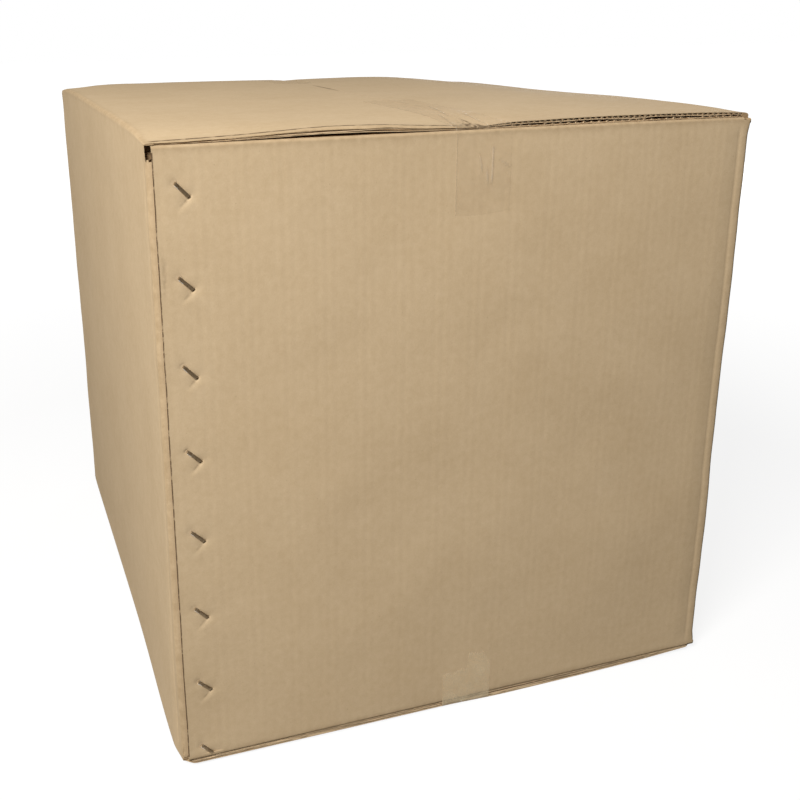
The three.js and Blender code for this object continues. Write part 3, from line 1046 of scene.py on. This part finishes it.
def flapEndLayers(name, isTop, atFront):
    whole = bmesh.new()
    for index in (left, right):
        near = cornerRuns[index - 1] + carton["outerFlapInset"]
        far = cornerRuns[index] - carton["outerFlapInset"]
        isNear = (index == left) != atFront
        end, way = (near, 1) if isNear else (far, -1)
        if atFront and index == left:
            end = cornerRuns[left] - flapEnds["endTrim"]
        fold = height + flapEnds["fromFold"] if isTop else -flapEnds["fromFold"]
        low, high = sorted((fold, blankHead if isTop else blankFoot))
        seed = index * 3.1 + isTop * 7.7 + atFront * 1.3
        lay = [*flapEnds["lay"], flapEnds["deep"]]
        plain = spread((low, 3 * mm), (high, 0))
        layerSheet(whole, end, way, plain, lay,
                   linerLevel(flapEnds["middleLiner"], flapEnds["middleWave"], seed + 1),
                   flapEnds["liner"], seed + 1)
        layerSheet(whole, end, way, plain, lay,
                   linerLevel(flapEnds["innerLiner"], flapEnds["innerWave"], seed + 2),
                   flapEnds["liner"], seed + 2, 1.4)
        for isLower, row in enumerate(("upper", "lower")):
            base, tall = flapEnds[row + "Flute"], flapEnds[row + "Height"]
            pitch = flapEnds["lowerPitch" if isLower else "pitch"]
            rowSeed = seed + 3 + isLower
            if isTop and atFront and index == right:
                layerSheet(whole, end, way, spread((low, pitch / 12), (high, 0)),
                           [0, flapEnds["deep"]], crossFlutes(base, tall, pitch, seed, isLower),
                           flapEnds["paper"], rowSeed, 0.6)
            else:
                first = flapEnds["rollInset"] if isTop and atFront and not isLower else 0
                columns = spread((first, 0.65 * mm), (flapEnds["deep"], 0))
                layerSheet(whole, end, way, spread((low, 4 * mm), (high, 0)), columns,
                           alongFlutes(base, tall, pitch, rowSeed), flapEnds["paper"], rowSeed, 0.8)
    return addPiece(name, whole, [kraftInside], ["carton"])


endNames = {(True, True): "top_front_layers", (True, False): "top_back_layers",
            (False, True): "bottom_front_layers", (False, False): "bottom_back_layers"}
for (isTop, atFront), name in endNames.items():
    piece = flapEndLayers(name, isTop, atFront)
    print(name, len(piece.data.polygons), "faces")


# Wire stitches: flat wire bent to a crown outside, two legs and two clinched ends inside

wireLook = {
    "body": (0.3, 0.2, 0.105, 1),
    "bright": (0.42, 0.31, 0.19, 1),
    "rough": (0.24, 0.4),
    "metal": 0.65,
    # near-white painted highlight at the upper bend
    "glint": (0.95, 0.93, 0.88, 1),
    "glintAt": 14,  # the corner of the wire's path at the upper bend
    "glintWide": 0.9,
    "tarnish": (420, 3, 0.6),
    "scratches": (1500, 2, 0.6),
    "bump": (0.3, 0.05 * mm),
    "edge": 0.2 * mm,
    "swing": 0.03,
}
n = Nodes("stitch_steel")
place = n.add("ShaderNodeTexCoord").outputs["Object"]
tarnish = n.noise(place, *wireLook["tarnish"])
steel = n.mixed(n.ranged(tarnish, 0.35, 0.7), wireLook["body"], wireLook["bright"])
# A painted highlight at the upper bend: a near-white, matte patch in place of a metal glint
glint = n.add("ShaderNodeAttribute", attribute_name="glint").outputs["Fac"]
n.join(n.mixed(glint, steel, wireLook["glint"]), n.shader.inputs["Base Color"])
n.join(n.ranged(tarnish, 0.3, 0.7, *wireLook["rough"]), n.shader.inputs["Roughness"])
n.join(n.ranged(glint, 0, 1, wireLook["metal"], 0), n.shader.inputs["Metallic"])
n.bump(n.noise(place, *wireLook["scratches"]), *wireLook["bump"])
stitchSteel = n.material


def wirePath(isLast):
    half = stitch["length"] / 2 - stitch["thickness"] / 2
    crown = stitch["crownAt"]
    clinch = 2 * carton["lapThickness"] + carton["layerGap"] + stitch["clinchGap"]
    bend = stitch["bend"]

    def corner(cx, cy, start):
        angles = [start + math.radians(a) for a in range(0, 91, 15)]
        return [(cx + bend * math.cos(a), cy + bend * math.sin(a)) for a in angles]

    path = [(-half + stitch["clinch"], clinch)]
    path += corner(-half + bend, clinch - bend, math.pi / 2)
    path += corner(-half + bend, crown + bend, math.pi)
    steps = 8
    for k in range(1, steps):
        share = k / steps
        bow = stitch["crownBow"] * math.sin(math.pi * share)
        path.append((-half + bend + 2 * (half - bend) * share, crown + bow))
    path += corner(half - bend, crown + bend, -math.pi / 2)
    if isLast:
        path.append((half, stitch["shortLeg"]))
    else:
        path += corner(half - bend, clinch - bend, 0)
        path.append((half - stitch["clinch"], clinch))
    return path


for i, (cx, cz) in enumerate(stitchCentres):
    path = wirePath(i == stitch["count"] - 1)
    bm = flatGrid(list(range(len(path))), [-stitch["width"] / 2, stitch["width"] / 2])
    thicken(bm, stitch["thickness"])
    edges = [e for e in bm.edges if abs(e.verts[0].co.x - e.verts[1].co.x) > 0.5]
    glint = bm.verts.layers.float.new("glint")  # a painted highlight on the outside of the upper bend
    for vertex in bm.verts:
        k = round(vertex.co.x)
        isOutside = vertex.co.z > -0.5 * stitch["thickness"]
        vertex[glint] = hump(k, wireLook["glintAt"], wireLook["glintWide"]) * isOutside
        before, after = Vector(path[max(k - 1, 0)]), Vector(path[min(k + 1, len(path) - 1)])
        tangent = (after - before).normalized()
        normal = Vector((tangent.y, -tangent.x))
        point = Vector(path[k]) + normal * (vertex.co.z + stitch["thickness"] / 2)
        vertex.co = Vector((point.x, point.y, vertex.co.y))
    bmesh.ops.bevel(bm, geom=edges, offset=wireLook["edge"], segments=2, profile=0.5,
                    affect="EDGES", material=-1)
    swing = Matrix.Rotation(stitch["angle"] + wireLook["swing"] * math.sin(3.7 * i + 1), 3, "Y")
    surface = settled((cx, -halfDepth, cz))
    bmesh.ops.rotate(bm, verts=bm.verts, cent=(0, 0, 0), matrix=swing)
    bmesh.ops.translate(bm, verts=bm.verts, vec=(cx, surface.y, surface.z))
    addPiece(f"wire_{i + 1}", bm, [stitchSteel], [f"stitch_{i + 1}"])
print("stitches ready")


# Clear tape along the seams

tape = {
    "width": 48 * mm,
    "centre": 6.5 * mm,
    "thickness": 0.06 * mm,
    "above": 0.1 * mm,
    "topDrop": 61 * mm,
    "bottomRise": 44 * mm,
    "frontRun": 200 * mm,
    "rearRun": 122 * mm,
    "rearDrop": 60 * mm,
    "step": 1.6 * mm,
    "fineStep": 0.8 * mm,
    "tint": (0.62, 0.48, 0.31, 1),
    "cover": 0.035,
    # painted sheen on the wrinkles and the left edge: more cover and a lighter tint
    "creased": 0.5,
    "paintedSheen": (0.97, 0.86, 0.66, 1),
    "frosted": (0.94, 0.79, 0.53, 1),
    "frostedCover": 0.22,
    "roughness": (0.3, 0.6),  # of the clear film and of the frosted one
    "patches": (70, 3, 0.6),
    "patchCover": (0.6, 1.5),
    "ripples": (240, 2, 0.5),
    "bump": (0.25, 0.2 * mm),
    "tornTop": [(-17.5 * mm, 19 * mm), (7 * mm, 15 * mm), (9 * mm, 1 * mm), (24 * mm, 2 * mm),
                (30.5 * mm, 14 * mm)],
    "tornFade": (24 * mm, -8 * mm),
    "tornScales": (180, 600),
    "ownTrim": 0.5 * mm,
    "foldDrop": 1.5 * mm,
    "lip": 1 * mm,
    # Wrinkles of the top front strip: from x and run to x and run, and how high
    "wrinkles": [
        (2.6 * mm, -22 * mm, 5 * mm, -34 * mm, 0.3 * mm),
        (9 * mm, -33 * mm, 10 * mm, -43 * mm, 0.35 * mm),
        (14 * mm, -17 * mm, 13.6 * mm, -44 * mm, 0.4 * mm),
        (21 * mm, -28 * mm, 28 * mm, -33 * mm, 0.25 * mm),
        (-14 * mm, 10 * mm, -4 * mm, 60 * mm, 0.2 * mm),
        (12 * mm, 3 * mm, 18 * mm, 60 * mm, 0.25 * mm),
        (0 * mm, 50 * mm, 18 * mm, 130 * mm, 0.2 * mm),
    ],
    "wrinkleWide": 0.9 * mm,
    "wrinkleHigh": 0.7 * mm,
    "edgeShine": 0.3,
}


def tapeMaterial(name, tint, cover, roughness):
    n = Nodes(name)
    place = n.add("ShaderNodeTexCoord").outputs["Object"]
    n.shader.inputs["Roughness"].default_value = roughness
    n.shader.inputs["Specular IOR Level"].default_value = 0.2
    # Painted sheen: the wrinkles and the film's left edge get a lighter tint and more cover
    paintedSheen = n.add("ShaderNodeAttribute", attribute_name="paintedSheen").outputs["Fac"]
    n.join(n.mixed(paintedSheen, tint, tape["paintedSheen"]), n.shader.inputs["Base Color"])
    least, most = (cover * share for share in tape["patchCover"])
    patches = n.ranged(n.noise(place, *tape["patches"]), 0.35, 0.7, least, most)
    creased = n.math("MULTIPLY", paintedSheen, tape["creased"])
    n.join(n.math("ADD", patches, creased), n.shader.inputs["Alpha"])
    n.bump(n.noise(place, *tape["ripples"]), *tape["bump"])
    return n.material


clearRough, frostedRough = tape["roughness"]
tapeFilm = tapeMaterial("clear_tape", tape["tint"], tape["cover"], clearRough)
frostedTape = tapeMaterial("frosted_tape", tape["frosted"], tape["frostedCover"], frostedRough)


def flapOuterFace(isTop, x, y):  # height of an outer flap's outer face
    if isTop:
        return height - board + board * endShare(True, x, y) + endLift(x, y)
    return board - board * endShare(False, x, y)


def tapePlace(isTop, isFront, run, x, level):
    # run 0 is the flap's end; below 0 down the panel, above 0 along the flap
    face = -halfDepth if isFront else halfDepth
    inward = 1 if isFront else -1
    fold = foldHeights(front)[isTop]
    up = 1 if isTop else -1
    edgeY = face + inward * carton["outerFlapInset"]
    edgeZ = flapOuterFace(isTop, x, edgeY) + up * level
    if run >= 0:
        y = edgeY + inward * run
        z = flapOuterFace(isTop, x, y) + up * level
        return settled((x, y if isTop else y - pushedOut(y), z))
    lip = abs(edgeZ - fold) + tape["lip"]
    foldEnd = fold - up * tape["foldDrop"]
    if run > -lip:
        share = -run / lip
        y = edgeY - inward * (level + (carton["outerFlapInset"] - tape["ownTrim"]) * share)
        if isFront and not isTop:
            y = max(y - pushedOut(y), face - level)
        return settled((x, y, edgeZ + (foldEnd - edgeZ) * share))
    return settled((x, face - inward * level, foldEnd + up * (run + lip)))


def wrinkles(x, run):
    total = 0
    for x0, r0, x1, r1, size in tape["wrinkles"]:
        dx, dr = x1 - x0, r1 - r0
        length = math.hypot(dx, dr)
        along = ((x - x0) * dx + (run - r0) * dr) / length
        off = ((x - x0) * dr - (run - r0) * dx) / length
        ends = smooth(-4 * mm, 3 * mm, along) * smooth(length + 4 * mm, length - 3 * mm, along)
        total += size * ends * hump(off, 0, tape["wrinkleWide"])
    return total


def tapePiece(name, isTop, isFront, faceRun, flapRun, replaced, film, endRough=0.0):
    tornFrom, tornTo = (offset - faceRun for offset in tape["tornFade"])
    rows = spread((tornTo, tape["step"]), (8 * mm, tape["step"] * 2), (flapRun, 0))
    half = tape["width"] / 2
    broad, fine = tape["tornScales"]
    columns = spread((tape["centre"] - half, tape["fineStep"]), (tape["centre"] + half, 0))
    bm = flatGrid(columns, rows)
    thicken(bm, tape["thickness"])
    sharpRims(bm)
    paintedSheen = bm.verts.layers.float.new("paintedSheen")
    for vertex in bm.verts:
        x, along, low = vertex.co
        rough = noise.noise(Vector((x * broad, 3.3, 0)))
        rough += 0.5 * noise.noise(Vector((x * fine, 1.3, 0)))
        rough *= endRough
        if not isTop:
            rough += readTable(tape["tornTop"], x)
        along += rough * smooth(tornFrom, tornTo, along)
        lift = tape["above"] + tape["thickness"] + low
        if isFront and isTop:
            fold = wrinkles(x, along)
            lift += fold
            # painted sheen along the film's left edge and on the wrinkles
            shine = tape["edgeShine"] * hump(x, columns[0], tape["wrinkleWide"])
            vertex[paintedSheen] = fold / tape["wrinkleHigh"] + shine
        vertex.co = tapePlace(isTop, isFront, along, x, lift)
    return addPiece(name, bm, [film], replaced)


halfRun = halfDepth - carton["outerFlapInset"]
tapePiece("top_front_tape_film", True, True, tape["topDrop"], tape["frontRun"],
          ["top_front_tape"], tapeFilm)
tapePiece("top_rear_tape_film", True, False, tape["rearDrop"], tape["rearRun"],
          ["top_rear_tape"], tapeFilm)
tapePiece("bottom_front_tape_film", False, True, tape["bottomRise"], halfRun,
          ["bottom_tape"], frostedTape, 4 * mm)
tapePiece("bottom_rear_tape_film", False, False, tape["bottomRise"], halfRun,
          ["bottom_tape"], frostedTape, 3 * mm)
print("tape ready")


# Stage: floor, light and camera

stage = {
    "floorSize": 14,
    "floor": (0.15, 0.147, 0.143, 1),
    "nearLift": (0.7, 0.86),
    "farLift": (2.6, 1.05),
    "world": 0.125,
    "keyPlace": (-1.45, -1.46, 1.95),
    "keySize": 0.9,
    "keyPower": 89,
    "backPlace": (2.2, 2.9, 0.3),
    "backSize": 1.2,
    "backPower": 70,
    "aim": (0, 0, 0.25),
}

floorMesh = bpy.data.meshes.new("floor")
bm = bmesh.new()
bmesh.ops.create_grid(bm, x_segments=1, y_segments=1, size=stage["floorSize"])
bm.to_mesh(floorMesh)
bm.free()
floor = bpy.data.objects.new("floor", floorMesh)
bpy.context.scene.collection.objects.link(floor)
floor.location.z = -0.2 * mm
n = Nodes("pale_floor")
n.shader.inputs["Base Color"].default_value = stage["floor"]
n.shader.inputs["Roughness"].default_value = 0.95
n.shader.inputs["Specular IOR Level"].default_value = 0
n.shader.inputs["Emission Color"].default_value = (1, 1, 1, 1)
floorRays = n.add("ShaderNodeLightPath")
seen = floorRays.outputs["Is Camera Ray"]
for ray in ("Is Glossy Ray", "Is Transmission Ray"):
    seen = n.math("MAXIMUM", seen, floorRays.outputs[ray])
away = n.add("ShaderNodeVectorMath", operation="LENGTH")
n.join(n.add("ShaderNodeTexCoord").outputs["Object"], away.inputs[0])
(near, nearLift), (far, farLift) = stage["nearLift"], stage["farLift"]
lift = n.ranged(away.outputs["Value"], near, far, nearLift, farLift)
n.join(n.math("MULTIPLY", seen, lift), n.shader.inputs["Emission Strength"])
floorMesh.materials.append(n.material)

world = bpy.data.worlds.new("studio")
bpy.context.scene.world = world
world.use_nodes = True
tree = world.node_tree
tree.nodes.clear()
rays = tree.nodes.new("ShaderNodeLightPath")
soft = tree.nodes.new("ShaderNodeBackground")
white = tree.nodes.new("ShaderNodeBackground")
mix = tree.nodes.new("ShaderNodeMixShader")
out = tree.nodes.new("ShaderNodeOutputWorld")
soft.inputs["Color"].default_value = (1, 1, 1, 1)
soft.inputs["Strength"].default_value = stage["world"]
white.inputs["Strength"].default_value = 1.0
white.inputs["Color"].default_value = (1, 1, 1, 1)
tree.links.new(rays.outputs["Is Camera Ray"], mix.inputs[0])
tree.links.new(soft.outputs[0], mix.inputs[1])
tree.links.new(white.outputs[0], mix.inputs[2])
tree.links.new(mix.outputs[0], out.inputs["Surface"])

for name in ("key", "back"):
    lamp = bpy.data.lights.new(name, "AREA")
    lamp.size = stage[name + "Size"]
    lamp.energy = stage[name + "Power"]
    light = bpy.data.objects.new(name, lamp)
    light.location = stage[name + "Place"]
    aim = Vector(stage["aim"]) - light.location
    light.rotation_euler = aim.to_track_quat("-Z", "Y").to_euler()
    bpy.context.scene.collection.objects.link(light)

view = {
    "place": (-0.37716, -1.04649, 0.61605),
    "right": (0.94702, -0.32097, -0.0128),
    "down": (-0.10966, -0.2857, -0.95204),
    "forward": (0.30194, 0.90299, -0.30572),
    "focus": 1040.58,
    "centre": (322, 346),
    "picture": 800,
}
lens = bpy.data.cameras.new("camera")
lens.sensor_width = 36
lens.lens = view["focus"] / view["picture"] * lens.sensor_width
lens.shift_x = 0.5 - view["centre"][0] / view["picture"]
lens.shift_y = view["centre"][1] / view["picture"] - 0.5
lens.clip_start = 0.05
camera = bpy.data.objects.new("camera", lens)
turn = Matrix((view["right"], [-c for c in view["down"]], [-c for c in view["forward"]]))
camera.matrix_world = Matrix.Translation(view["place"]) @ turn.transposed().to_4x4()
bpy.context.scene.collection.objects.link(camera)
bpy.context.scene.camera = camera
bpy.context.scene.view_settings.view_transform = "Standard"
print("stage ready")
